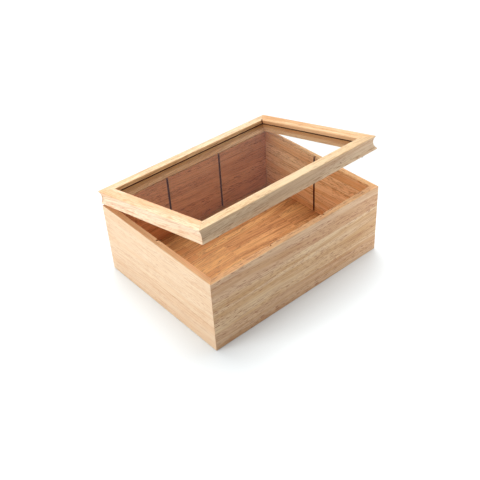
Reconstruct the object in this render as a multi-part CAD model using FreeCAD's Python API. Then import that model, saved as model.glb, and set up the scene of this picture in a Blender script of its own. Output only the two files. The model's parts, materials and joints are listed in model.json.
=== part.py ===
import FreeCAD, Part
import math
import os

Vector = FreeCAD.Vector

# Hinged tea box with a glass window in its lid. Millimetres, +Z up, +X to the right, -Y to the front.
# The origin is on the table, under the middle of the room that the box takes up with its lid ajar.

# Box of four mitred walls
box_length = 260.0
box_depth = 202.0
box_height = 94.5
wall_thickness = 8.0
wall_arris = 0.8
wall_inner_arris = 0.5
wall_foot_bevel = 0.4

# Bottom panel, held in a groove that runs round the inside of the walls
panel_thickness = 5.0
panel_rise = 6.0
panel_groove_depth = 4.0
panel_face_play = 0.1
panel_edge_play = 0.5

# Slots for lift-out dividers
bay_column_count = 3
bay_row_count = 2
slot_width = 3.0
slot_depth = 3.0

# Lid frame of four mitred rails, coved on the front and on both ends
rail_width = 15.0
rail_height = 16.5
rail_arris = 0.6
rail_inner_arris = 0.8
rail_foot_bevel = 0.4
cove_depth = 2.75
cove_top_lip = 1.1
cove_bottom_lip = 1.0
open_angle = 13.5

# Glass, held in a groove that runs round the inside of the rails
glass_thickness = 2.0
glass_rise = 9.8
glass_groove_depth = 5.0
glass_face_play = 0.2
glass_edge_play = 0.6

# Angle nails pressed into the lid's mitres from below
nail_leg = 5.0
nail_thickness = 0.6
nail_height = 7.0
nail_setback = 4.5
nail_play = 0.05

# Pads under the lid's front corners
pad_diameter = 4.0
pad_end_distance = 22.0
pad_front_distance = 5.6
pad_landing_gap = 0.1

# Two butt hinges between the back wall and the lid's back rail. Their pins stand a little inside the
# back of the box, so that the flat back of the rail meets the wall and stops the lid just past upright.
hinge_length = 25.0
hinge_end_distance = 45.0
leaf_thickness = 1.2
leaf_wall_margin = 0.5
leaf_corner_radius = 1.0
closed_leaf_gap = 0.1
knuckle_count = 3
knuckle_gap = 0.12
barrel_diameter = 3.4
barrel_clearance = 0.12
pin_diameter = 1.6
pin_play = 0.04
pin_inset = 1.4
pin_head_diameter = 2.4
pin_head_height = 0.5
hinge_pocket_play = 0.3

# Countersunk screws, two in each leaf
screw_spacing = 15.0
screw_diameter = 1.8
screw_length = 10.0
screw_head_diameter = 3.2
screw_play = 0.05

half_length = box_length / 2
half_depth = box_depth / 2
inner_half_length = half_length - wall_thickness
inner_half_depth = half_depth - wall_thickness
hinge_gap = 2 * leaf_thickness + closed_leaf_gap
lid_bottom = box_height + hinge_gap
lid_top = lid_bottom + rail_height
pin_y = half_depth - pin_inset
pin_z = box_height + hinge_gap / 2
barrel_radius = barrel_diameter / 2
leaf_front = inner_half_depth + leaf_wall_margin
leaf_back = pin_y - barrel_radius - barrel_clearance

# The raised lid leans out over the back wall, and the whole box stands half of that further forward.
lean = math.radians(open_angle)
swing_height = lid_top - rail_arris - pin_z
lid_overhang = swing_height * math.sin(lean) - pin_inset * (1 - math.cos(lean))
forward_shift = lid_overhang / 2

# How far a cutting tool runs past what it cuts, and how closely edges are told apart
overrun = 5.0
tolerance = 1e-6


def block(x_low, x_high, y_low, y_high, z_low, z_high):
    corner = Vector(x_low, y_low, z_low)
    return Part.makeBox(x_high - x_low, y_high - y_low, z_high - z_low, corner)


def centred_block(half_x, half_y, z_low, z_high):
    return block(-half_x, half_x, -half_y, half_y, z_low, z_high)


def prism(outline, z_low, z_high):
    corners = [Vector(x, y, z_low) for x, y in outline]
    face = Part.Face(Part.makePolygon(corners + corners[:1]))
    return face.extrude(Vector(0, 0, z_high - z_low))


def turned(profile):
    # A solid of revolution about Z from (radius, height) points.
    corners = [Vector(radius, 0, height) for radius, height in profile]
    face = Part.Face(Part.makePolygon(corners + corners[:1]))
    return face.revolve(Vector(0, 0, 0), Vector(0, 0, 1), 360)


def rod_along_x(x_low, x_high, y, z, radius):
    return Part.makeCylinder(radius, x_high - x_low, Vector(x_low, y, z), Vector(1, 0, 0))


def edges_at_height(shape, z):
    flat = [edge for edge in shape.Edges if edge.BoundBox.ZLength < tolerance]
    return [edge for edge in flat if abs(edge.BoundBox.ZMin - z) < tolerance]


def is_inside(edge, half_x, half_y):
    centre = edge.CenterOfMass
    return abs(centre.x) < half_x and abs(centre.y) < half_y


def mitred_sides(ring, half_x, half_y, width, z_low, z_high):
    # Cuts a rectangular ring at 45 degrees in its corners, into its four sides.
    outer = [(-half_x, -half_y), (half_x, -half_y), (half_x, half_y), (-half_x, half_y)]
    inner = [(math.copysign(half_x - width, x), math.copysign(half_y - width, y)) for x, y in outer]
    sides = {}
    for index, name in enumerate(("front", "right", "back", "left")):
        following = (index + 1) % len(outer)
        outline = [outer[index], outer[following], inner[following], inner[index]]
        sides[name] = ring.common(prism(outline, z_low, z_high))
    return sides


def slot_centres(span, bay_count):
    # Slots that part a span into equal bays, measured from its middle.
    bay = (span - (bay_count - 1) * slot_width) / bay_count
    pitch = bay + slot_width
    return [(index + 1) * pitch - slot_width / 2 - span / 2 for index in range(bay_count - 1)]


def wall_ring():
    ring = centred_block(half_length, half_depth, 0, box_height)
    upright = [edge for edge in ring.Edges if edge.BoundBox.ZLength > box_height / 2]
    ring = ring.makeFillet(wall_arris, upright + edges_at_height(ring, box_height))
    ring = ring.makeChamfer(wall_foot_bevel, edges_at_height(ring, 0))
    ring = ring.cut(centred_block(inner_half_length, inner_half_depth, -overrun, box_height + overrun))
    inner_rim = [edge for edge in edges_at_height(ring, box_height)
                 if is_inside(edge, inner_half_length + wall_inner_arris, inner_half_depth + wall_inner_arris)]
    ring = ring.makeFillet(wall_inner_arris, inner_rim)
    groove = centred_block(
        inner_half_length + panel_groove_depth,
        inner_half_depth + panel_groove_depth,
        panel_rise,
        panel_rise + panel_thickness + panel_face_play,
    )
    return ring.cut(groove)


def slot_cutters():
    # Each slot runs the whole height of two facing walls.
    half_slot = slot_width / 2
    cutters = []
    for x in slot_centres(2 * inner_half_length, bay_column_count):
        reach = inner_half_depth + slot_depth
        cutters.append(block(x - half_slot, x + half_slot, -reach, reach, -overrun, box_height + overrun))
    for y in slot_centres(2 * inner_half_depth, bay_row_count):
        reach = inner_half_length + slot_depth
        cutters.append(block(-reach, reach, y - half_slot, y + half_slot, -overrun, box_height + overrun))
    return Part.makeCompound(cutters)


def bottom_panel():
    overhang = panel_groove_depth - panel_edge_play
    half_x = inner_half_length + overhang
    half_y = inner_half_depth + overhang
    return centred_block(half_x, half_y, panel_rise, panel_rise + panel_thickness)


def cove_cutters():
    # A round hollow along the front and both ends, which runs out through the back of the frame.
    chord = rail_height - cove_top_lip - cove_bottom_lip
    radius = (chord ** 2 / 4 + cove_depth ** 2) / (2 * cove_depth)
    centre_z = lid_bottom + cove_bottom_lip + chord / 2
    standoff = radius - cove_depth
    run_x = half_length + overrun
    run_y = half_depth + overrun
    front = rod_along_x(-run_x, run_x, -half_depth - standoff, centre_z, radius)
    ends = [Part.makeCylinder(radius, 2 * run_y, Vector(side * (half_length + standoff), -run_y, centre_z),
                              Vector(0, 1, 0)) for side in (-1, 1)]
    return Part.makeCompound([front] + ends)


def rail_ring():
    frame = centred_block(half_length, half_depth, lid_bottom, lid_top)
    upright = [edge for edge in frame.Edges if edge.BoundBox.ZLength > rail_height / 2]
    frame = frame.makeFillet(rail_arris, upright + edges_at_height(frame, lid_top))
    frame = frame.makeChamfer(rail_foot_bevel, edges_at_height(frame, lid_bottom))
    opening_x = half_length - rail_width
    opening_y = half_depth - rail_width
    frame = frame.cut(centred_block(opening_x, opening_y, lid_bottom - overrun, lid_top + overrun))
    inner_rim = [edge for edge in edges_at_height(frame, lid_top)
                 if is_inside(edge, opening_x + rail_inner_arris, opening_y + rail_inner_arris)]
    frame = frame.makeFillet(rail_inner_arris, inner_rim)
    frame = frame.cut(cove_cutters())
    groove_low = lid_bottom + glass_rise
    groove = centred_block(
        opening_x + glass_groove_depth,
        opening_y + glass_groove_depth,
        groove_low,
        groove_low + glass_thickness + glass_face_play,
    )
    return frame.cut(groove)


def glass_pane():
    overhang = glass_groove_depth - glass_edge_play
    half_x = half_length - rail_width + overhang
    half_y = half_depth - rail_width + overhang
    low = lid_bottom + glass_rise
    return centred_block(half_x, half_y, low, low + glass_thickness)


def angle_nails(play):
    # One angle in each corner, with a leg in each of the two rails that meet there.
    near = nail_setback - play
    far = nail_setback + nail_leg + play
    inner = nail_setback + nail_thickness + play
    outline = [(near, near), (far, near), (far, inner), (inner, inner), (inner, far), (near, far)]
    nails = []
    for side_x in (-1, 1):
        for side_y in (-1, 1):
            corner = [(side_x * (half_length - x), side_y * (half_depth - y)) for x, y in outline]
            nails.append(prism(corner, lid_bottom, lid_bottom + nail_height + play))
    return Part.makeCompound(nails)


def lid_pads():
    height = hinge_gap - pad_landing_gap
    pads = []
    for side in (-1, 1):
        x = side * (half_length - pad_end_distance)
        y = pad_front_distance - half_depth
        pads.append(Part.makeCylinder(pad_diameter / 2, height, Vector(x, y, lid_bottom - height)))
    return Part.makeCompound(pads)


def hinge_centres():
    return {"left": hinge_end_distance - half_length, "right": half_length - hinge_end_distance}


def screw(play):
    # Countersunk, upright, with the face of its head at height 0.
    head_radius = screw_head_diameter / 2 + play
    shank_radius = screw_diameter / 2 + play
    head_height = head_radius - shank_radius
    end = -screw_length - play
    return turned([(0, 0), (head_radius, 0), (shank_radius, -head_height), (shank_radius, end), (0, end)])


def hinge_screws(member, play):
    # Screws of both hinges: head up in the box's leaves, head down in the lid's leaves.
    plate_middle = (leaf_front + leaf_back) / 2
    screws = []
    for centre_x in hinge_centres().values():
        for offset in (-screw_spacing / 2, screw_spacing / 2):
            solid = screw(play)
            height = box_height + leaf_thickness
            if member == "lid":
                solid.rotate(Vector(0, 0, 0), Vector(1, 0, 0), 180)
                height = lid_bottom - leaf_thickness
            solid.translate(Vector(centre_x + offset, plate_middle, height))
            screws.append(solid)
    return Part.makeCompound(screws)


def hinge_leaf(centre_x, member):
    # A flat plate with its share of the knuckles, which alternate from the box's leaf outwards.
    plate_low = box_height if member == "box" else lid_bottom - leaf_thickness
    plate_high = plate_low + leaf_thickness
    x_low = centre_x - hinge_length / 2
    x_high = centre_x + hinge_length / 2
    leaf = block(x_low, x_high, leaf_front, leaf_back, plate_low, plate_high)
    corners = [edge for edge in leaf.Edges if edge.BoundBox.ZLength > leaf_thickness / 2]
    front_corners = [edge for edge in corners if edge.BoundBox.YMax < leaf_front + tolerance]
    leaf = leaf.makeFillet(leaf_corner_radius, front_corners)
    pitch = hinge_length / knuckle_count
    first = 0 if member == "box" else 1
    for index in range(first, knuckle_count, 2):
        start = x_low + index * pitch + knuckle_gap / 2
        end = x_low + (index + 1) * pitch - knuckle_gap / 2
        leaf = leaf.fuse(block(start, end, leaf_back, pin_y, plate_low, plate_high))
        leaf = leaf.fuse(rod_along_x(start, end, pin_y, pin_z, barrel_radius))
    bore = rod_along_x(x_low - overrun, x_high + overrun, pin_y, pin_z, pin_diameter / 2 + pin_play)
    return leaf.cut(bore).cut(hinge_screws(member, screw_play)).removeSplitter()


def hinge_pin(centre_x):
    # The head is outside the barrel, at the end nearer the corner of the box.
    half = hinge_length / 2
    rod = rod_along_x(centre_x - half, centre_x + half, pin_y, pin_z, pin_diameter / 2)
    side = math.copysign(1, centre_x)
    x_low, x_high = sorted((centre_x + side * half, centre_x + side * (half + pin_head_height)))
    head = rod_along_x(x_low, x_high, pin_y, pin_z, pin_head_diameter / 2)
    return rod.fuse(head).removeSplitter()


def hinge_pockets():
    # Round hollows in the wall and in the rail that clear the barrels and the heads of the pins.
    half = hinge_length / 2 + pin_head_height + hinge_pocket_play
    radius = barrel_radius + hinge_pocket_play
    pockets = [rod_along_x(x - half, x + half, pin_y, pin_z, radius) for x in hinge_centres().values()]
    return Part.makeCompound(pockets)


def opened(shape):
    # Turns a piece of the closed lid about the hinge pins, front edge up.
    turned_shape = shape.copy()
    turned_shape.rotate(Vector(0, pin_y, pin_z), Vector(1, 0, 0), -open_angle)
    return turned_shape


def box_pieces():
    walls = wall_ring().cut(slot_cutters())
    sides = mitred_sides(walls, half_length, half_depth, wall_thickness, 0, box_height)
    sides["back"] = sides["back"].cut(hinge_pockets()).cut(hinge_screws("box", screw_play))
    pieces = {side + "_wall": shape for side, shape in sides.items()}
    pieces["bottom_panel"] = bottom_panel()
    pieces["hinge_box_screws"] = hinge_screws("box", 0.0)
    for name, centre_x in hinge_centres().items():
        pieces[name + "_hinge_box_leaf"] = hinge_leaf(centre_x, "box")
        pieces[name + "_hinge_pin"] = hinge_pin(centre_x)
    return pieces


def lid_pieces():
    rails = rail_ring().cut(angle_nails(nail_play))
    sides = mitred_sides(rails, half_length, half_depth, rail_width, lid_bottom, lid_top)
    sides["back"] = sides["back"].cut(hinge_pockets()).cut(hinge_screws("lid", screw_play))
    pieces = {"lid_" + side + "_rail": shape for side, shape in sides.items()}
    pieces["glass_pane"] = glass_pane()
    pieces["lid_angle_nails"] = angle_nails(0.0)
    pieces["lid_pads"] = lid_pads()
    pieces["hinge_lid_screws"] = hinge_screws("lid", 0.0)
    for name, centre_x in hinge_centres().items():
        pieces[name + "_hinge_lid_leaf"] = hinge_leaf(centre_x, "lid")
    return {name: opened(shape) for name, shape in pieces.items()}


def main():
    os.makedirs("parts", exist_ok=True)
    for name, shape in {**box_pieces(), **lid_pieces()}.items():
        shape.translate(Vector(0, -forward_shift, 0))
        shape.exportStep("parts/" + name + ".step")
        print(name, len(shape.Solids), "solid(s)", round(shape.Volume, 1), "mm3")


main()
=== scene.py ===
import json
import math

import bmesh
import bpy
from mathutils import Matrix, Vector


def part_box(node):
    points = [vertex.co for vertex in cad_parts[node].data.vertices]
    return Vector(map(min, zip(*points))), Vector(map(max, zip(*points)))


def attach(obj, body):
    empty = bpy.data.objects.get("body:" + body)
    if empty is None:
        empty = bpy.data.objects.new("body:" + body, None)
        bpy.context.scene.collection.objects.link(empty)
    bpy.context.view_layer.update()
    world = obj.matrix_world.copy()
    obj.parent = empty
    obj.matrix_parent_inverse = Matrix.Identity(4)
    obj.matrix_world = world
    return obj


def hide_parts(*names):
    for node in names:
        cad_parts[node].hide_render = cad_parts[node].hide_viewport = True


# Rubberwood tea box with a hinged glass lid, standing ajar on white studio paper.

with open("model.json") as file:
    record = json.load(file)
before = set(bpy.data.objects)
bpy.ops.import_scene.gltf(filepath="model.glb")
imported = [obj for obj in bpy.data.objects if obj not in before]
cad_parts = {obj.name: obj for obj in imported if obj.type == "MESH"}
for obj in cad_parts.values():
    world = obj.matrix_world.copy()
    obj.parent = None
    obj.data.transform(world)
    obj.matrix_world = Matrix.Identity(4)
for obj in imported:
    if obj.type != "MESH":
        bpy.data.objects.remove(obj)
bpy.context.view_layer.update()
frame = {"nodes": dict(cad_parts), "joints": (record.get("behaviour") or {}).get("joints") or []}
nodes = frame["nodes"]
pin = Vector(frame["joints"][0]["pos_m"])
mm = 1000.0  # patterns are worked out in millimetres
ofColours = {"give": 2, "data_type": "RGBA"}  # a Mix node of two colours, which go in at 6 and 7
print("frame:", len(nodes), "CAD nodes")


def hexColour(text):
    # sRGB hex to the linear values that shaders take
    channels = [int(text[start:start + 2], 16) / 255 for start in (1, 3, 5)]
    linear = [c / 12.92 if c <= 0.04045 else ((c + 0.055) / 1.055) ** 2.4 for c in channels]
    return (*linear, 1.0)


def addNode(tree, kind, inputs, give=0, **settings):
    # one shader node: each input is linked to a socket or set to a value, and one output comes back
    node = tree.nodes.new("ShaderNode" + kind)
    for name, value in settings.items():
        setattr(node, name, value)
    for key, value in inputs.items():
        if isinstance(value, bpy.types.NodeSocket):
            tree.links.new(value, node.inputs[key])
        else:
            node.inputs[key].default_value = value
    return node.outputs if give is None else node.outputs[give]


def streaks(tree, place, length, width, detail):
    # noise that is drawn out along the first axis
    size = (1 / length, 1 / width, 1 / width)
    drawnOut = addNode(tree, "VectorMath", {0: place, 1: size}, operation="MULTIPLY")
    return addNode(tree, "TexNoise", {"Vector": drawnOut, "Scale": 1.0, "Detail": detail})


def newMaterial(name):
    material = bpy.data.materials.new(name)
    material.use_nodes = True
    material.node_tree.nodes.clear()
    return material, material.node_tree


def dress(node, material):
    # a CAD node keeps its mesh and takes a new finish
    mesh = nodes[node].data
    mesh.materials.clear()
    mesh.materials.append(material)


# Sizes of the wood's figure in mm. Pores and fibres are drawn a little coarse, so that they show.
grain = {
    "layers": {
        # growth bands
        "bands": {"length": 300.0, "width": 10.0, "detail": 2.0, "low": 0.40, "high": 0.62},
        # fine lines
        "fibres": {"length": 45.0, "width": 1.1, "detail": 3.0, "low": 0.44, "high": 0.70},
        # open pores, cut lengthways
        "dashes": {"length": 8.0, "width": 0.8, "detail": 1.5, "low": 0.53, "high": 0.64},
        # where the pores crowd
        "drifts": {"length": 90.0, "width": 8.0, "detail": 2.0, "low": 0.38, "high": 0.58},
        # uneven ripple of tone
        "clouds": {"length": 40.0, "width": 16.0, "detail": 3.0, "low": 0.36, "high": 0.64},
    },
    # the grain wanders, and runs off the edge of the board by a few degrees
    "waveLength": 130.0, "waveWidth": 45.0, "waveDetail": 1.0, "waveHeight": 4.5, "slope": 0.08,
    "staveShift": 71.3,  # neighbouring staves are cut this far apart in the log
    "glueLine": 0.35,    # half width of the line between two staves
    "mitreLine": 0.25,   # width of the line along a mitre, on each of its two boards
    # The pale arris line that the outer tone leaves along each rim is partly a painted highlight.
    "skin": 0.9,         # the outer faces' tone goes this deep, so arrises are as pale as they
    "skinFade": 0.27,    # and it fades this much before and after
    "bandTone": 0.65, "cloudTone": 0.18, "staveTone": 0.35,
    "strayPores": 0.15,  # share of the pores that lie outside the drifts
    # depths of the dark marks; the last is that of the band of painted shade below the glass
    "poreDepth": 0.90, "mitreDepth": 0.25, "knotDepth": 0.9, "shadeBelowGlassDepth": 0.45,
    "knotBlur": 0.6,     # a knot's edge is soft over this share of its radius, inwards and outwards
    "pink": "#d8aa8c",   # some staves come from nearer the bark, and are pinkish
    "sawnAndShaded": "#6a2c16",   # the walls of saw cuts are rough and dark, and this colour also paints the shade in their depth
    "roughness": 0.48, "fibreRoughness": 0.63, "ior": 1.5, "specular": 0.35,
    "fibreRelief": 0.3, "bump": 0.04, "bumpStrength": 0.5,
}

walls = {
    "height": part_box("front_wall")[1].z * mm,
    "cutFrom": 1.0, "cutTo": 7.8,  # the cut faces in the divider slots lie this deep in the wall
    "cutFoot": 0.7, "cutFadeAbove": 0.5, "cutFadeBelow": 4.0,  # and their painted shade fades out towards the rim, where light reaches in
}
rails = {
    "width": 15.0, "height": 16.5, "foot": (2 * pin.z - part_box("front_wall")[1].z) * mm,
    "openAngle": 13.5,
    "innerSkin": 0.5,                      # the inner faces' tone goes this deep
    # The groove's faces are painted dark: unfinished wood, and painted shade around the glass's
    # edge.
    "grooveLow": 9.8, "grooveHigh": 12.0,  # the glass's groove, above the rail's foot
    "grooveSlack": 0.05,                   # its cut faces lie this near to those heights
    "grooveFrom": 0.2, "grooveTo": 5.0,    # and this deep behind the inner face
    # The gap is not modelled: a painted dark line stands for the shadow in it.
    "openMitre": 0.8,                      # above the glass, one inner corner of the lid gapes by
    "gapeDepth": 2.5,                      # about this much, and this deep
    "shadeBelowGlass": 4.6,                        # a band of painted shade darkens the inner faces below the glass
}

outward = {"front": Vector((0, -1, 0)), "back": Vector((0, 1, 0)),
           "left": Vector((-1, 0, 0)), "right": Vector((1, 0, 0))}
up = Vector((0, 0, 1))

# What differs from board to board. Each face has a pale and a deep tone. The rims and inner
# faces are more orange than the outer faces of the same board, and lighter where they lie in shade:
# painted light, standing for warm light bounced inside the box and making up for the lid's shade.
# The coves are paler on the lit left rail and darker on the shaded rails, painted light and shade.
# Staves are (mm above the table, depth of tone, flush of pink), and a knot is (mm along from the
# middle, mm above the table, radius).
boards = {
    "front_wall": {
        "side": "front", "seed": 8.0, "bands": 0.9, "fibres": 0.36, "pores": 0.8, "glue": 0.15,
        "staves": ((0, 0.5, 0.25), (24, 0.2, 0), (67, 0.4, 0.3)), "dark": "#9c4830",
        "outer": ("#f4dab2", "#d6a974"), "inner": ("#ecb884", "#d89c66"),
        "rim": ("#fac893", "#f4b87e")},
    "left_wall": {
        "side": "left", "seed": 21.0, "bands": 0.8, "fibres": 0.35, "pores": 0.5, "glue": 0.8,
        "staves": ((0, 0.4, 0.1), (33, 0.3, 0)), "dark": "#c48a58",
        "outer": ("#f2dabb", "#ebc8a0"), "inner": ("#f4c898", "#e2ac78"),
        "rim": ("#ffcd98", "#ffb982")},
    "right_wall": {
        "side": "right", "seed": 28.0, "bands": 1.0, "fibres": 0.45, "pores": 0.8, "glue": 0.9,
        "staves": ((0, 0.6, 0), (36, 0.0, 0.1), (64, -0.4, 0), (80, 1.2, 0)), "dark": "#9c582a",
        "outer": ("#e2bf95", "#cd9f73"), "inner": ("#fdd3a2", "#efb47c"),
        "rim": ("#facc90", "#eeb478")},
    "back_wall": {
        "side": "back", "seed": 37.0, "bands": 0.9, "fibres": 0.45, "pores": 0.8, "glue": 0.5,
        "staves": ((0, 0.5, 0.2), (30, 0.3, 0), (62, 0.5, 0.2)), "dark": "#7a4026",
        "outer": ("#e2bf95", "#cd9f73"), "inner": ("#ecb082", "#d6966a"),
        "rim": ("#f0c08a", "#d8a06a")},
    "lid_front_rail": {
        "side": "front", "seed": 41.0, "bands": 0.8, "fibres": 0.42, "pores": 0.7,
        "staves": ((0, 0.3, 0),), "knots": ((71.8, 102.7, 0.9),), "dark": "#9c6a48",
        "outer": ("#e8d0a8", "#dfba88"), "cove": ("#dfc6a4", "#cba986"),
        "inner": ("#deb488", "#c49468")},
    "lid_left_rail": {
        "side": "left", "seed": 69.0, "bands": 1.1, "fibres": 0.60, "pores": 0.5,
        "staves": ((0, 0.3, 0),), "dark": "#cc8654",
        "outer": ("#f3d9b6", "#e6b98c"), "cove": ("#f8e6ca", "#f0d2ae"),
        "inner": ("#deb488", "#c49468")},
    "lid_right_rail": {
        "side": "right", "seed": 76.0, "bands": 1.0, "fibres": 0.50, "pores": 0.5,
        "staves": ((0, 0.3, 0),), "gapingEnd": 1, "dark": "#b4703e",
        "outer": ("#efd2a4", "#dca872"), "cove": ("#e2c298", "#cda074"),
        "inner": ("#f0c494", "#dca878")},
    "lid_back_rail": {
        "side": "back", "seed": 113.0, "bands": 0.9, "fibres": 0.50, "pores": 0.5,
        "staves": ((0, 0.3, 0),), "gapingEnd": -1, "dark": "#9c6036",
        "outer": ("#f4deb8", "#e4bf90"), "cove": ("#e2c298", "#cda074"),
        "inner": ("#f4cc98", "#e0aa70")},
}


def boardPlace(side, kind):
    # The board's own axes, along the grain, upwards and outwards, as a Mapping node's settings.
    # They start at the middle of the board's length, on the table, and at the board's outer face.
    out = outward[side]
    along = up.cross(out)
    ends = [along.dot(corner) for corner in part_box(side + "_wall")]
    faces = [out.dot(corner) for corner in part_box(side + "_wall")]
    level = Matrix((along, up, out))
    tilt = Matrix.Rotation(-math.radians(rails["openAngle"]) if kind == "rail" else 0.0, 3, "X")
    turn = level @ tilt.inverted()
    shift = (level @ pin - turn @ pin - Vector((sum(ends) / 2, 0, max(faces)))) * mm
    return turn.to_euler("XYZ"), shift, abs(ends[1] - ends[0]) * mm / 2


def glueStaves(tree, board, at):
    # which stave a point is in, its chance number, its tone and flush, and the lines between staves
    stave = board["seed"]
    tone, flush = board["staves"][0][1:]
    glue = 0.0
    for below, (joint, depth, pink) in zip(board["staves"], board["staves"][1:]):
        above = addNode(tree, "Math", {0: at["across"], 1: joint}, operation="GREATER_THAN")
        stave = addNode(tree, "Math", {0: stave, 1: above}, operation="ADD")
        tone = addNode(tree, "Math", {0: above, 1: depth - below[1], 2: tone},
                       operation="MULTIPLY_ADD")
        flush = addNode(tree, "Math", {0: above, 1: pink - below[2], 2: flush},
                        operation="MULTIPLY_ADD")
        line = addNode(tree, "Math", {0: at["across"], 1: joint, 2: grain["glueLine"]},
                       operation="COMPARE")
        glue = addNode(tree, "Math", {0: glue, 1: line}, operation="MAXIMUM")
    if board["kind"] == "bottom":
        stagger = addNode(tree, "Math", {0: stave, 1: board["stagger"]}, operation="MULTIPLY")
        block = addNode(tree, "Math", {0: at["along"], 1: 1 / board["blockLength"], 2: stagger},
                        operation="MULTIPLY_ADD")
        block = addNode(tree, "Math", {0: block}, operation="FLOOR")
        stave = addNode(tree, "Math", {0: block, 1: board["blockShift"], 2: stave},
                        operation="MULTIPLY_ADD")
    chance = addNode(tree, "TexWhiteNoise", {"W": stave}, noise_dimensions="1D")
    if board["kind"] == "bottom":
        tone = addNode(tree, "Math", {0: chance, 1: tone}, operation="ADD")
    return stave, chance, tone, flush, glue


def drawFigure(tree, at, stave, chance):
    # every stave comes from another place in the log, and its grain runs a little off straight
    slope = addNode(tree, "MapRange", {"Value": chance, "To Min": -grain["slope"],
                                       "To Max": grain["slope"]})
    wave = streaks(tree, at["place"], grain["waveLength"], grain["waveWidth"],
                   grain["waveDetail"])
    bend = addNode(tree, "MapRange", {"Value": wave, "To Min": -grain["waveHeight"],
                                      "To Max": grain["waveHeight"]})
    leaning = addNode(tree, "Math", {0: at["along"], 1: slope, 2: bend}, operation="MULTIPLY_ADD")
    logPlace = addNode(tree, "Math", {0: stave, 1: grain["staveShift"]}, operation="MULTIPLY")
    inLog = addNode(tree, "CombineXYZ", {
        0: addNode(tree, "Math", {0: at["along"], 1: logPlace}, operation="ADD"),
        1: addNode(tree, "Math", {0: at["across"], 1: leaning}, operation="ADD"),
        2: addNode(tree, "Math", {0: at["out"], 1: logPlace}, operation="ADD")})
    figure = {}
    for layer, look in grain["layers"].items():
        noise = streaks(tree, inLog, look["length"], look["width"], look["detail"])
        figure[layer] = addNode(tree, "MapRange", {"Value": noise, "From Min": look["low"],
                                                   "From Max": look["high"]},
                                interpolation_type="SMOOTHSTEP")
    crowd = addNode(tree, "MapRange", {"Value": figure["drifts"], "To Min": grain["strayPores"]})
    pores = addNode(tree, "Math", {0: figure["dashes"], 1: crowd}, operation="MULTIPLY")
    return figure, crowd, pores


def findFaces(tree, board, at):
    # masks of the faces that have a tone of their own, on top of the outer one; these tones are
    # partly painted light and shade
    if board["kind"] == "bottom":
        return {}
    height = walls["height"] if board["kind"] == "wall" else rails["foot"] + rails["height"]
    onTop = addNode(tree, "Math", {0: at["across"], 1: height - grain["skin"]},
                    operation="GREATER_THAN")
    if board["kind"] == "rail":
        cove = addNode(tree, "Math", {0: 1.0, 1: onTop}, operation="SUBTRACT")
        inner = addNode(tree, "Math", {0: at["out"], 1: rails["innerSkin"] - rails["width"]},
                        operation="LESS_THAN")
        return {"cove": cove, "inner": inner}
    inner = addNode(tree, "MapRange", {"Value": at["out"],
                                       "From Min": grain["skinFade"] - grain["skin"],
                                       "From Max": -grain["skinFade"] - grain["skin"]})
    rim = addNode(tree, "Math", {0: inner, 1: onTop}, operation="MULTIPLY")
    return {"inner": inner, "rim": rim}


def findMarks(tree, board, at, faces):
    # dark marks with their depths: a fine line along each mitre, knots, and painted shade below the
    # glass
    marks = []
    if board["kind"] != "bottom":
        reach = addNode(tree, "Math", {0: at["along"]}, operation="ABSOLUTE")
        fromMitre = addNode(tree, "Math", {0: at["mitre"], 1: reach}, operation="SUBTRACT")
        mitre = addNode(tree, "Math", {0: fromMitre, 1: grain["mitreLine"]},
                        operation="LESS_THAN")
        marks.append((mitre, grain["mitreDepth"]))
    for x, z, radius in board.get("knots", ()):
        onFace = addNode(tree, "CombineXYZ", {0: at["along"], 1: at["across"]})
        distance = addNode(tree, "VectorMath", {0: onFace, 1: (x, z, 0)}, give="Value",
                           operation="DISTANCE")
        knot = addNode(tree, "MapRange", {"Value": distance,
                                          "From Min": (1 + grain["knotBlur"]) * radius,
                                          "From Max": (1 - grain["knotBlur"]) * radius})
        marks.append((knot, grain["knotDepth"]))
    # painted shade on the rails' inner faces, just below the glass
    if board["kind"] == "rail":
        middle = rails["foot"] + rails["grooveLow"] - rails["shadeBelowGlass"] / 2
        paintedShade = addNode(tree, "Math", {0: at["across"], 1: middle, 2: rails["shadeBelowGlass"] / 2},
                        operation="COMPARE")
        paintedShade = addNode(tree, "Math", {0: paintedShade, 1: faces["inner"]}, operation="MULTIPLY")
        marks.append((paintedShade, grain["shadeBelowGlassDepth"]))
    return marks


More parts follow.
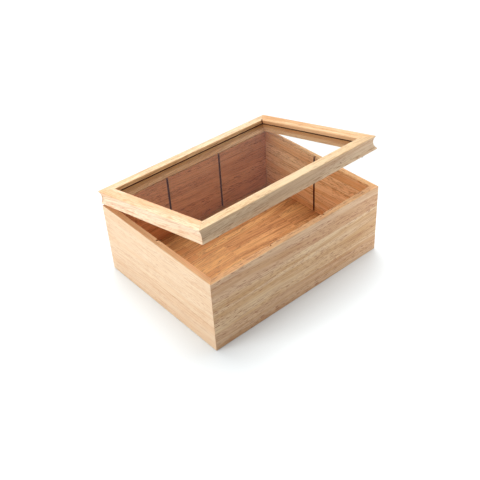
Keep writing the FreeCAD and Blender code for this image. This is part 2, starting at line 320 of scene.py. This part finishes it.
def findShadedCuts(tree, board, at):
    # saw cuts, dark for their rough wood and for painted shade: the walls' slots, the glass's
    # groove in the rails, and the corner that gapes
    if board["kind"] == "wall":
        middle = -(walls["cutFrom"] + walls["cutTo"]) / 2
        halfDepth = (walls["cutTo"] - walls["cutFrom"]) / 2
        inWall = addNode(tree, "Math", {0: at["out"], 1: middle, 2: halfDepth},
                         operation="COMPARE")
        # the slots' painted shade fades out towards the rim
        belowRim = addNode(tree, "MapRange", {
            "Value": at["across"], "From Min": walls["height"] + walls["cutFadeAbove"],
            "From Max": walls["height"] - walls["cutFadeBelow"]})
        aboveFoot = addNode(tree, "Math", {0: at["across"], 1: walls["cutFoot"]},
                            operation="GREATER_THAN")
        cut = addNode(tree, "Math", {0: inWall, 1: belowRim}, operation="MULTIPLY")
        return addNode(tree, "Math", {0: cut, 1: aboveFoot}, operation="MULTIPLY")
    # the glass's groove: painted shade, with some unfinished wood
    middle = rails["foot"] + (rails["grooveLow"] + rails["grooveHigh"]) / 2
    halfHeight = (rails["grooveHigh"] - rails["grooveLow"]) / 2 + rails["grooveSlack"]
    inGroove = addNode(tree, "Math", {0: at["across"], 1: middle, 2: halfHeight},
                       operation="COMPARE")
    middle = (rails["grooveFrom"] + rails["grooveTo"]) / 2 - rails["width"]
    halfDepth = (rails["grooveTo"] - rails["grooveFrom"]) / 2
    inRail = addNode(tree, "Math", {0: at["out"], 1: middle, 2: halfDepth}, operation="COMPARE")
    cut = addNode(tree, "Math", {0: inRail, 1: inGroove}, operation="MULTIPLY")
    # where one corner gapes, a painted shadow line above the glass
    if "gapingEnd" in board:
        fromEnd = addNode(tree, "Math", {0: at["along"], 1: -board["gapingEnd"], 2: at["mitre"]},
                          operation="MULTIPLY_ADD")
        gape = addNode(tree, "Math", {0: fromEnd, 1: rails["openMitre"]}, operation="LESS_THAN")
        onInside = addNode(tree, "Math", {0: at["out"], 1: rails["gapeDepth"] - rails["width"]},
                           operation="LESS_THAN")
        overGlass = addNode(tree, "Math", {0: at["across"],
                                           1: rails["foot"] + rails["grooveHigh"]},
                            operation="GREATER_THAN")
        gape = addNode(tree, "Math", {0: gape, 1: onInside}, operation="MULTIPLY")
        gape = addNode(tree, "Math", {0: gape, 1: overGlass}, operation="MULTIPLY")
        cut = addNode(tree, "Math", {0: cut, 1: gape}, operation="MAXIMUM")
    return cut


def makeWood(name, board, turn, shift, halfLength=None):
    # Rubberwood (hevea), planed, sanded and given a thin satin lacquer: pale ground with soft bands
    # of growth, fine fibre lines and short dark pores in drifts. The glued staves differ a little.
    material, tree = newMaterial(name)
    objectPlace = addNode(tree, "TexCoord", {}, give="Object")
    place = addNode(tree, "Mapping", {"Vector": objectPlace, "Location": shift, "Rotation": turn,
                                      "Scale": (mm, mm, mm)}, vector_type="POINT")
    along, across, out = addNode(tree, "SeparateXYZ", {0: place}, give=None)
    at = {"place": place, "along": along, "across": across, "out": out}
    if halfLength is not None:
        at["mitre"] = addNode(tree, "Math", {0: halfLength, 1: out}, operation="ADD")
    stave, chance, tone, flush, glue = glueStaves(tree, board, at)
    figure, crowd, pores = drawFigure(tree, at, stave, chance)

    # ground tone: bands and clouds on top of the stave's own tone, in each face's two colours,
    # which also carry painted light and shade
    mellow = addNode(tree, "Math", {0: figure["bands"], 1: grain["bandTone"] * board["bands"]},
                     operation="MULTIPLY")
    mellow = addNode(tree, "Math", {0: figure["clouds"], 1: grain["cloudTone"], 2: mellow},
                     operation="MULTIPLY_ADD")
    mellow = addNode(tree, "Math", {0: tone, 1: grain["staveTone"], 2: mellow},
                     operation="MULTIPLY_ADD")
    pale, deep = [hexColour(colour) for colour in board["outer"]]
    ground = addNode(tree, "Mix", {0: mellow, 6: pale, 7: deep}, **ofColours)
    ground = addNode(tree, "Mix", {0: flush, 6: ground, 7: hexColour(grain["pink"])}, **ofColours)
    faces = findFaces(tree, board, at)
    for face, mask in faces.items():
        pale, deep = [hexColour(colour) for colour in board[face]]
        faceTone = addNode(tree, "Mix", {0: mellow, 6: pale, 7: deep}, **ofColours)
        ground = addNode(tree, "Mix", {0: mask, 6: ground, 7: faceTone}, **ofColours)

    worn = addNode(tree, "Math", {0: glue, 1: crowd}, operation="MULTIPLY")  # lines come and go
    marks = [(figure["fibres"], board["fibres"]), (pores, grain["poreDepth"] * board["pores"]),
             (worn, board.get("glue", 0.0))]
    for mark, depth in marks + findMarks(tree, board, at, faces):
        shade = addNode(tree, "Math", {0: mark, 1: depth}, operation="MULTIPLY")
        ground = addNode(tree, "Mix", {0: shade, 6: ground, 7: hexColour(board["dark"])},
                         **ofColours)
    # saw cuts take their dark colour: rough wood, with painted shade in their depth
    if board["kind"] != "bottom":
        ground = addNode(tree, "Mix", {0: findShadedCuts(tree, board, at), 6: ground,
                                       7: hexColour(grain["sawnAndShaded"])}, **ofColours)

    relief = addNode(tree, "Math", {0: figure["fibres"], 1: grain["fibreRelief"], 2: pores},
                     operation="MULTIPLY_ADD")
    bump = addNode(tree, "Bump", {"Height": relief, "Strength": grain["bumpStrength"],
                                  "Distance": grain["bump"] / mm}, invert=True)
    gloss = addNode(tree, "MapRange", {"Value": figure["fibres"], "To Min": grain["roughness"],
                                       "To Max": grain["fibreRoughness"]})
    shader = addNode(tree, "BsdfPrincipled", {
        "Base Color": ground, "Roughness": gloss, "Normal": bump, "IOR": grain["ior"],
        "Specular IOR Level": grain["specular"]})
    addNode(tree, "OutputMaterial", {"Surface": shader}, give=None)
    return material


for node, board in boards.items():
    board["kind"] = "rail" if node.startswith("lid") else "wall"
    finish = "rubberwood, sanded, " + node.replace("_", " ")
    dress(node, makeWood(finish, board, *boardPlace(board["side"], board["kind"])))

# The bottom is glued up from short blocks, and its grain runs along the box. Its staves are counted
# in mm from the middle of the box to the back, and it has no mitres.
bottomBoard = {
    "kind": "bottom", "seed": 120.0, "bands": 1.0, "fibres": 0.60, "pores": 0.8, "glue": 0.3,
    "staves": ((-101, 0.3, 0), (-62, 0.5, 0), (-21, 0.2, 0), (24, 0.5, 0), (66, 0.4, 0)),
    "blockLength": 95.0, "stagger": 0.37, "blockShift": 7.0, "dark": "#76381a",
    "outer": ("#edb577", "#c9864f"),
}
dress("bottom_panel", makeWood("rubberwood, sanded, bottom panel", bottomBoard,
                               turn=(0.0, 0.0, 0.0), shift=(0.0, 0.0, 0.0)))
print("wood: 9 boards")


# Window pane of the lid. Its IOR is far below that of glass, so that it hardly mirrors the studio.
pane = {
    "clean": "#f9fcf9", "smeared": "#f3f6f3", "lampTint": "#f2f5f2", "roughness": 0.0, "ior": 1.06,
    "smearSize": 70.0, "smearDetail": 3.0, "smearLow": 0.5, "smearHigh": 0.8,
}


def makeGlass(name):
    # Float glass, 2 mm, polished: clear and almost free of reflections, with a trace of smears
    material, tree = newMaterial(name)
    objectPlace = addNode(tree, "TexCoord", {}, give="Object")
    smear = addNode(tree, "TexNoise", {"Vector": objectPlace, "Scale": mm / pane["smearSize"],
                                       "Detail": pane["smearDetail"]})
    haze = addNode(tree, "MapRange", {"Value": smear, "From Min": pane["smearLow"],
                                      "From Max": pane["smearHigh"]})
    tint = addNode(tree, "Mix", {0: haze, 6: hexColour(pane["clean"]),
                                 7: hexColour(pane["smeared"])}, **ofColours)
    glass = addNode(tree, "BsdfPrincipled", {"Base Color": tint, "Roughness": pane["roughness"],
                                             "IOR": pane["ior"], "Transmission Weight": 1.0})
    # lamps and the paper light the inside of the box straight through the pane
    clear = addNode(tree, "BsdfTransparent", {"Color": hexColour(pane["lampTint"])})
    path = addNode(tree, "LightPath", {}, give=None)
    lampRay = addNode(tree, "Math", {0: path["Is Shadow Ray"], 1: path["Is Diffuse Ray"]},
                      operation="MAXIMUM")
    surface = addNode(tree, "MixShader", {0: lampRay, 1: glass, 2: clear})
    addNode(tree, "OutputMaterial", {"Surface": surface}, give=None)
    return material


# Hinges, pins and screws are brass plated, and the nails in the mitres zinc plated. Sizes in mm.
metals = {
    "brass plated steel, rolled": {"bright": "#d8b060", "dull": "#a8803c", "roughness": 0.22,
                                   "lineWidth": 0.25},
    "zinc plated steel, drawn": {"bright": "#c4c6c8", "dull": "#8c9094", "roughness": 0.30,
                                 "lineWidth": 0.20},
}
plating = {
    "lineLength": 20.0, "lineDetail": 2.0, "lineRoughness": 0.2,
    "patchSize": 4.0, "patchDetail": 3.0, "patchLow": 0.4, "patchHigh": 0.75,
    "bump": 0.02, "bumpStrength": 0.2,
}


def makeMetal(name, metal):
    # Rolled sheet or drawn wire: fine lines one way, and a slight uneven tarnish
    material, tree = newMaterial(name)
    objectPlace = addNode(tree, "TexCoord", {}, give="Object")
    lines = streaks(tree, objectPlace, plating["lineLength"] / mm, metal["lineWidth"] / mm,
                    plating["lineDetail"])
    patches = addNode(tree, "TexNoise", {"Vector": objectPlace, "Scale": mm / plating["patchSize"],
                                         "Detail": plating["patchDetail"]})
    dulled = addNode(tree, "MapRange", {"Value": patches, "From Min": plating["patchLow"],
                                        "From Max": plating["patchHigh"]})
    colour = addNode(tree, "Mix", {0: dulled, 6: hexColour(metal["bright"]),
                                   7: hexColour(metal["dull"])}, **ofColours)
    gloss = addNode(tree, "MapRange", {"Value": lines, "To Min": metal["roughness"],
                                       "To Max": metal["roughness"] + plating["lineRoughness"]})
    bump = addNode(tree, "Bump", {"Height": lines, "Strength": plating["bumpStrength"],
                                  "Distance": plating["bump"] / mm})
    shader = addNode(tree, "BsdfPrincipled", {"Base Color": colour, "Metallic": 1.0,
                                              "Roughness": gloss, "Normal": bump})
    addNode(tree, "OutputMaterial", {"Surface": shader}, give=None)
    return material


# Pads under the lid's front corners
pads = {"pale": "#5a4434", "dark": "#3e2e24", "grainSize": 0.4, "grainDetail": 2.0,
        "roughness": 0.7, "ior": 1.45, "bump": 0.05, "bumpStrength": 0.3}


def makePad(name):
    # Moulded soft rubber: matt, with a faint grain
    material, tree = newMaterial(name)
    objectPlace = addNode(tree, "TexCoord", {}, give="Object")
    speckle = addNode(tree, "TexNoise", {"Vector": objectPlace, "Scale": mm / pads["grainSize"],
                                         "Detail": pads["grainDetail"]})
    colour = addNode(tree, "Mix", {0: speckle, 6: hexColour(pads["pale"]),
                                   7: hexColour(pads["dark"])}, **ofColours)
    bump = addNode(tree, "Bump", {"Height": speckle, "Strength": pads["bumpStrength"],
                                  "Distance": pads["bump"] / mm})
    shader = addNode(tree, "BsdfPrincipled", {"Base Color": colour, "Roughness": pads["roughness"],
                                              "Normal": bump, "IOR": pads["ior"]})
    addNode(tree, "OutputMaterial", {"Surface": shader}, give=None)
    return material


brass, zinc = [makeMetal(name, metal) for name, metal in metals.items()]
dress("glass_pane", makeGlass("float glass, polished"))
dress("lid_angle_nails", zinc)
dress("lid_pads", makePad("rubber, moulded matt"))
for side in ("left", "right"):
    for piece in ("hinge_box_leaf", "hinge_lid_leaf", "hinge_pin"):
        dress(side + "_" + piece, brass)
print("glass, metal and pads: done")


# The hinges' screws, in mm, with the cross recess that the solids leave out
screws = {
    "headRadius": 1.6, "shankRadius": 0.9, "length": 10.0, "sides": 24,
    "fromMiddle": 85.0, "spacing": 15.0, "twist": 37.0,
    "recessReach": 0.95, "recessHalfWidth": 0.22, "recessDepth": 0.7, "recessTaper": 0.55,
}


def addScrew(metal, place):
    # Countersunk, upright, with the face of its head at height 0
    rim = bmesh.ops.create_circle(metal, cap_ends=False, radius=screws["headRadius"],
                                  segments=screws["sides"])["verts"]
    ring = list({edge for vert in rim for edge in vert.link_edges})
    head = bmesh.ops.contextual_create(metal, geom=ring)["faces"]
    parts = list(rim)
    neckHeight = screws["shankRadius"] - screws["headRadius"]
    for height in (neckHeight, -screws["length"]):
        grown = bmesh.ops.extrude_edge_only(metal, edges=ring)["geom"]
        verts = [item for item in grown if isinstance(item, bmesh.types.BMVert)]
        ring = [item for item in grown if isinstance(item, bmesh.types.BMEdge)
                and all(vert in verts for vert in item.verts)]
        for vert in verts:
            vert.co.xy = vert.co.xy.normalized() * screws["shankRadius"]
            vert.co.z = height
        parts += verts
    bmesh.ops.contextual_create(metal, geom=ring)

    # the recess: the head's face is cut along the sides and the ends of a cross, which then sinks
    for axis in (Vector((1, 0, 0)), Vector((0, 1, 0))):
        for distance in (screws["recessHalfWidth"], screws["recessReach"]):
            for sign in (-1, 1):
                edges = list({edge for face in head for edge in face.edges})
                verts = list({vert for face in head for vert in face.verts})
                cut = bmesh.ops.bisect_plane(metal, geom=head + edges + verts,
                                             plane_co=axis * distance * sign, plane_no=axis)
                head = [item for item in cut["geom"] if isinstance(item, bmesh.types.BMFace)]
                parts += [item for item in cut["geom_cut"]
                          if isinstance(item, bmesh.types.BMVert)]
    cross = []
    for face in head:
        near, far = sorted(abs(value) for value in face.calc_center_median().xy)
        if near < screws["recessHalfWidth"] and far < screws["recessReach"]:
            cross.append(face)
    cross += list({edge for face in cross for edge in face.edges})
    sunk = [item for item in bmesh.ops.extrude_face_region(metal, geom=cross)["geom"]
            if isinstance(item, bmesh.types.BMVert)]
    for vert in sunk:
        vert.co.xy *= screws["recessTaper"]
        vert.co.z = -screws["recessDepth"]
    moved = list({vert for vert in parts + sunk if vert.is_valid})
    bmesh.ops.transform(metal, matrix=place, verts=moved)


def makeScrews(member):
    # The four screws of one member as one piece. The lid's are upside down, and lean with it.
    metal = bmesh.new()
    low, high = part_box("hinge_box_screws")
    row = (low.y + high.y) / 2 * mm
    face = high.z * mm
    lean = (Matrix.Translation(pin * mm)
            @ Matrix.Rotation(-math.radians(rails["openAngle"]), 4, "X")
            @ Matrix.Translation(-pin * mm))
    ends = [(hinge, end) for hinge in (-1, 1) for end in (-1, 1)]
    for number, (hinge, end) in enumerate(ends):
        along = hinge * screws["fromMiddle"] + end * screws["spacing"] / 2
        if member == "box":
            place = Matrix.Translation((along, row, face))
        else:
            place = (lean @ Matrix.Translation((along, row, 2 * pin.z * mm - face))
                     @ Matrix.Rotation(math.pi, 4, "X"))
        twist = Matrix.Rotation(math.radians(screws["twist"] * number), 4, "Z")
        addScrew(metal, place @ twist)
    bmesh.ops.scale(metal, verts=metal.verts, vec=(1 / mm, 1 / mm, 1 / mm))
    bmesh.ops.recalc_face_normals(metal, faces=metal.faces)
    mesh = bpy.data.meshes.new(member + "_screws")
    metal.to_mesh(mesh)
    metal.free()
    mesh.materials.append(brass)
    piece = bpy.data.objects.new(member + "_screws", mesh)
    bpy.context.scene.collection.objects.link(piece)
    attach(piece, member)
    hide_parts("hinge_" + member + "_screws")


for member in ("box", "lid"):
    makeScrews(member)
print("screws: 8 with a cross recess")


# The floor glows more with distance, so that its far part is plain white
studio = {
    "floorSize": 8.0, "floorDrop": 0.0002, "floorColour": "#bcbcbc", "floorSeen": "#dee3e5",
    "glowNear": 0.08, "glowFar": 0.40, "glowStart": 0.35, "glowEnd": 1.2,
    "skyColour": "#ffffff", "skyStrength": 0.37,
}
lamps = {
    "key": {"kind": "SUN", "place": (0.16, 0.25, 0.95), "aim": (0.0, 0.0, 0.0),
            "energy": 2.8, "angle": math.radians(40.0)},
    "left lamp": {"kind": "AREA", "place": (-0.90, 0.20, 0.38), "aim": (-0.13, 0.0, 0.05),
                  "energy": 4.8, "size": 0.4},
    "right lamp": {"kind": "AREA", "place": (0.33, -0.27, 0.12), "aim": (0.10, -0.10, 0.04),
                   "energy": 0.46, "size": 0.12},
}


def eyeRays(tree):
    # 1 where the eye sees a surface, straight, mirrored or through the glass, and 0 for other light
    path = addNode(tree, "LightPath", {}, give=None)
    mirrored = addNode(tree, "Math", {0: path["Is Glossy Ray"], 1: path["Is Transmission Ray"]},
                       operation="MAXIMUM")
    return addNode(tree, "Math", {0: path["Is Camera Ray"], 1: mirrored}, operation="MAXIMUM")


def makeFloor():
    # Seamless white studio paper, matt: white to the eye, and it keeps the box's soft shadow
    mesh = bpy.data.meshes.new("floor")
    paper = bmesh.new()
    bmesh.ops.create_grid(paper, x_segments=1, y_segments=1, size=studio["floorSize"] / 2)
    bmesh.ops.translate(paper, verts=paper.verts, vec=(0, 0, -studio["floorDrop"]))
    paper.to_mesh(mesh)
    paper.free()
    floor = bpy.data.objects.new("floor", mesh)
    bpy.context.scene.collection.objects.link(floor)
    material, tree = newMaterial("studio paper, matt white")
    seen = eyeRays(tree)
    objectPlace = addNode(tree, "TexCoord", {}, give="Object")
    distance = addNode(tree, "VectorMath", {0: objectPlace}, give="Value", operation="LENGTH")
    glowing = addNode(tree, "MapRange", {
        "Value": distance, "From Min": studio["glowStart"], "From Max": studio["glowEnd"],
        "To Min": studio["glowNear"], "To Max": studio["glowFar"]})
    strength = addNode(tree, "Math", {0: seen, 1: glowing}, operation="MULTIPLY")
    glow = addNode(tree, "Emission", {"Strength": strength})
    white = addNode(tree, "Mix", {0: seen, 6: hexColour(studio["floorColour"]),
                                  7: hexColour(studio["floorSeen"])}, **ofColours)
    matt = addNode(tree, "BsdfDiffuse", {"Color": white})
    surface = addNode(tree, "AddShader", {0: matt, 1: glow})
    addNode(tree, "OutputMaterial", {"Surface": surface}, give=None)
    mesh.materials.append(material)


def makeSky():
    # An even white dome, plain white where the eye sees it
    world = bpy.data.worlds.new("studio")
    bpy.context.scene.world = world
    world.use_nodes = True
    tree = world.node_tree
    tree.nodes.clear()
    strength = addNode(tree, "MapRange", {"Value": eyeRays(tree), "To Min": studio["skyStrength"]})
    sky = addNode(tree, "Background", {"Color": hexColour(studio["skyColour"]),
                                       "Strength": strength})
    addNode(tree, "OutputWorld", {"Surface": sky}, give=None)


def makeLamp(name, kind, place, aim, **settings):
    lamp = bpy.data.objects.new(name, bpy.data.lights.new(name, kind))
    for key, value in settings.items():
        setattr(lamp.data, key, value)
    lamp.location = place
    lamp.rotation_euler = (Vector(place) - Vector(aim)).to_track_quat("Z", "Y").to_euler()
    bpy.context.scene.collection.objects.link(lamp)


makeFloor()
makeSky()
for name, lamp in lamps.items():
    makeLamp(name, **lamp)
key = bpy.data.lights["key"]
key.cycles.use_multiple_importance_sampling = False  # keeps specks of it off the pane

view = {"place": (-0.47679, -0.59182, 0.60934), "azimuth": -41.353, "elevation": 37.563,
        "roll": -1.991, "lens": 57.732, "sensor": 36.0, "shiftX": -0.0625}
camera = bpy.data.objects.new("camera", bpy.data.cameras.new("camera"))
camera.data.sensor_width = view["sensor"]
camera.data.lens = view["lens"]
camera.data.shift_x = view["shiftX"]
camera.matrix_world = (Matrix.Translation(view["place"])
                       @ Matrix.Rotation(math.radians(view["azimuth"]), 4, "Z")
                       @ Matrix.Rotation(math.radians(90 - view["elevation"]), 4, "X")
                       @ Matrix.Rotation(math.radians(view["roll"]), 4, "Z"))
bpy.context.scene.collection.objects.link(camera)
bpy.context.scene.camera = camera
bpy.context.scene.view_settings.view_transform = "Standard"
print("studio: paper, sky, three lamps and a camera")
